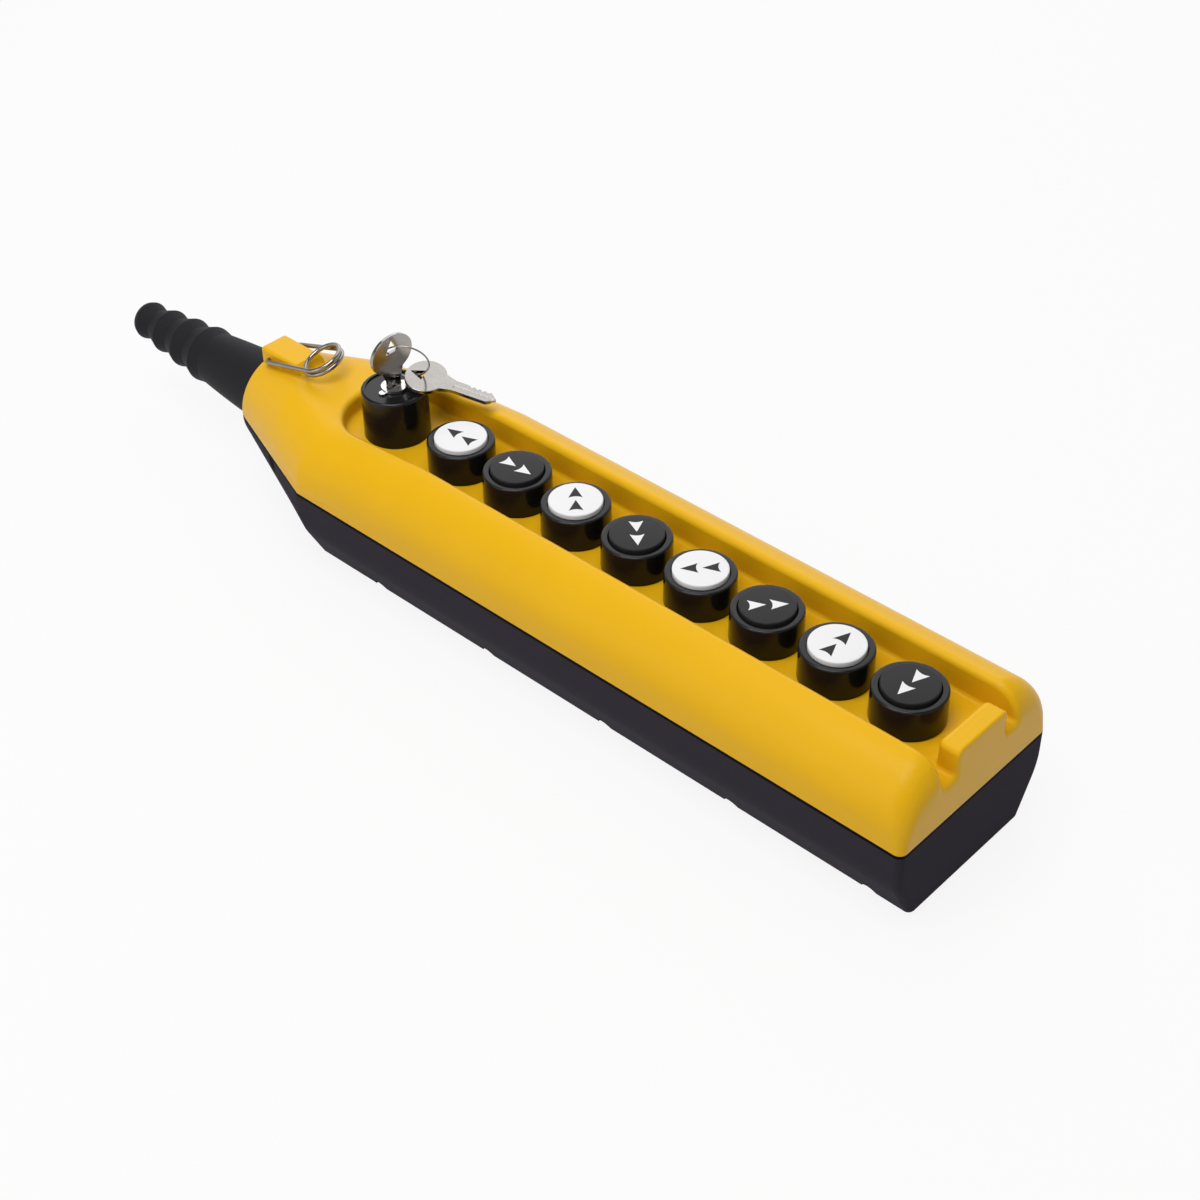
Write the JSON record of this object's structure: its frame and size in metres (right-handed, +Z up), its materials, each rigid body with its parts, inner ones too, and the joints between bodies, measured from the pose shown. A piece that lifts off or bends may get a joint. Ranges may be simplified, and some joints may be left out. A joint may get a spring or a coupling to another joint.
{
  "type": "crane pendant control",
  "caption": "Hand-held pendant control with a yellow moulded front, dark back shell, row of guarded arrow push buttons, key switch with keys, hanging eye and rubber cable boot.",
  "frame": {"origin": "middle of the outline, on the flat back of the casing", "axes": "+X runs from the cable boot to the wide end, +Z is up out of the button side, +Y completes the frame"},
  "size_m": [0.512, 0.0954, 0.1102],
  "materials": {
    "yellow_shell": "satin moulded polypropylene",
    "dark_shell": "fine-grained moulded polypropylene",
    "boot_rubber": "matte moulded rubber",
    "seal_rubber": "matte",
    "black_plastic": "semi-gloss moulded",
    "white_cap": "satin moulded",
    "black_cap": "satin moulded",
    "contact_plastic": "matte moulded",
    "screw_steel": "zinc plated",
    "spring_steel": "drawn wire",
    "eye_steel": "polished stainless wire",
    "key_nickel": "nickel plated",
    "lock_nickel": "nickel plated"
  },
  "bodies": {
    "casing": {"front_cover": "yellow_shell", "rear_cover": "dark_shell", "cover_seal": "seal_rubber", "cover_screws": "screw_steel", "cable_boot": "boot_rubber", "cable_clamp": "dark_shell", "clamp_screws": "screw_steel", "button_gaskets": "seal_rubber", "button_lock_nuts": "black_plastic", "terminal_screws": "screw_steel", "key_switch_head": "black_plastic", "key_switch_block": "contact_plastic", "button_1_bezel": "black_plastic", "button_1_block": "contact_plastic", "button_1_spring": "spring_steel", "button_2_bezel": "black_plastic", "button_2_block": "contact_plastic", "button_2_spring": "spring_steel", "button_3_bezel": "black_plastic", "button_3_block": "contact_plastic", "button_3_spring": "spring_steel", "button_4_bezel": "black_plastic", "button_4_block": "contact_plastic", "button_4_spring": "spring_steel", "button_5_bezel": "black_plastic", "button_5_block": "contact_plastic", "button_5_spring": "spring_steel", "button_6_bezel": "black_plastic", "button_6_block": "contact_plastic", "button_6_spring": "spring_steel", "button_7_bezel": "black_plastic", "button_7_block": "contact_plastic", "button_7_spring": "spring_steel", "button_8_bezel": "black_plastic", "button_8_block": "contact_plastic", "button_8_spring": "spring_steel"},
    "button_1": {"button_1_cap": "white_cap", "button_1_plunger": "contact_plastic"},
    "button_2": {"button_2_cap": "black_cap", "button_2_plunger": "contact_plastic"},
    "button_3": {"button_3_cap": "white_cap", "button_3_plunger": "contact_plastic"},
    "button_4": {"button_4_cap": "black_cap", "button_4_plunger": "contact_plastic"},
    "button_5": {"button_5_cap": "white_cap", "button_5_plunger": "contact_plastic"},
    "button_6": {"button_6_cap": "black_cap", "button_6_plunger": "contact_plastic"},
    "button_7": {"button_7_cap": "white_cap", "button_7_plunger": "contact_plastic"},
    "button_8": {"button_8_cap": "black_cap", "button_8_plunger": "contact_plastic"},
    "lock": {"lock_barrel": "lock_nickel", "lock_cam": "screw_steel"},
    "key": {"key": "key_nickel"},
    "ring": {"key_ring": "eye_steel"},
    "spare": {"spare_key": "key_nickel"},
    "eye": {"hanging_eye": "eye_steel"}
  },
  "joints": [
    {"name": "button_1_press", "type": "slide", "parent": "casing", "child": "button_1", "axis": [0, 0, -1], "range_m": [0, 0.005], "stiffness_N_per_m": 800, "springref_m": -0.002, "deforming": ["button_1_spring"]},
    {"name": "button_2_press", "type": "slide", "parent": "casing", "child": "button_2", "axis": [0, 0, -1], "range_m": [0, 0.005], "stiffness_N_per_m": 800, "springref_m": -0.002, "deforming": ["button_2_spring"]},
    {"name": "button_3_press", "type": "slide", "parent": "casing", "child": "button_3", "axis": [0, 0, -1], "range_m": [0, 0.005], "stiffness_N_per_m": 800, "springref_m": -0.002, "deforming": ["button_3_spring"]},
    {"name": "button_4_press", "type": "slide", "parent": "casing", "child": "button_4", "axis": [0, 0, -1], "range_m": [0, 0.005], "stiffness_N_per_m": 800, "springref_m": -0.002, "deforming": ["button_4_spring"]},
    {"name": "button_5_press", "type": "slide", "parent": "casing", "child": "button_5", "axis": [0, 0, -1], "range_m": [0, 0.005], "stiffness_N_per_m": 800, "springref_m": -0.002, "deforming": ["button_5_spring"]},
    {"name": "button_6_press", "type": "slide", "parent": "casing", "child": "button_6", "axis": [0, 0, -1], "range_m": [0, 0.005], "stiffness_N_per_m": 800, "springref_m": -0.002, "deforming": ["button_6_spring"]},
    {"name": "button_7_press", "type": "slide", "parent": "casing", "child": "button_7", "axis": [0, 0, -1], "range_m": [0, 0.005], "stiffness_N_per_m": 800, "springref_m": -0.002, "deforming": ["button_7_spring"]},
    {"name": "button_8_press", "type": "slide", "parent": "casing", "child": "button_8", "axis": [0, 0, -1], "range_m": [0, 0.005], "stiffness_N_per_m": 800, "springref_m": -0.002, "deforming": ["button_8_spring"]},
    {"name": "lock_turn", "type": "hinge", "parent": "casing", "child": "lock", "pos_m": [-0.06565, 0, 0.0597], "axis": [0, 0, -1], "range_deg": [0, 90]},
    {"name": "key_draw", "type": "slide", "parent": "lock", "child": "key", "axis": [0, 0, 1], "range_m": [0, 0.02]},
    {"name": "ring_swing", "type": "hinge", "parent": "key", "child": "ring", "pos_m": [-0.06565, 0, 0.1041], "axis": [1, 0, 0], "range_deg": [0, 60]},
    {"name": "spare_swing", "type": "hinge", "parent": "ring", "child": "spare", "pos_m": [-0.0607, 0.01129, 0.08621], "axis": [0.1728, 0.0795, 0.9817], "range_deg": [0, 30]},
    {"name": "eye_swing", "type": "hinge", "parent": "casing", "child": "eye", "pos_m": [-0.14595, 0, 0.067], "axis": [0, -1, 0], "range_deg": [0, 150]}
  ]
}
